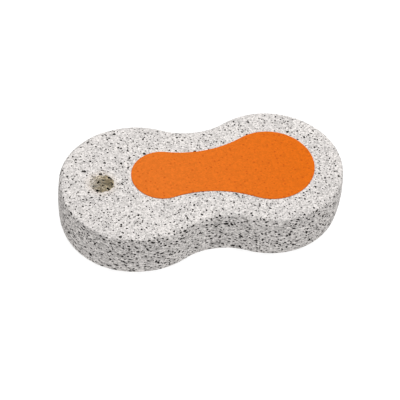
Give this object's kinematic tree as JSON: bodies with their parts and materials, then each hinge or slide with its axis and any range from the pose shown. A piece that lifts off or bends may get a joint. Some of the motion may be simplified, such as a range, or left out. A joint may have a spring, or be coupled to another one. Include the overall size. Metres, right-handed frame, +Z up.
{
  "type": "pumice stone",
  "caption": "Sole-shaped block of ground pumice for smoothing feet, with a hanging hole drilled through one end and a thin sole-shaped label on its top face.",
  "frame": {"origin": "under the middle of the bounding box, on the flat base that the stone rests on", "axes": "+X along the stone, away from the hanging hole; +Z up, out of the face with the label"},
  "size_m": [0.1018, 0.0554, 0.0206],
  "materials": {
    "pumice": "dry, open-pored light grey pumice, ground flat and unpolished",
    "orange_film": "thin matt orange film stuck on the stone"
  },
  "bodies": {
    "root": {"pumice_stone": "pumice", "sole_label": "orange_film"}
  },
  "joints": []
}
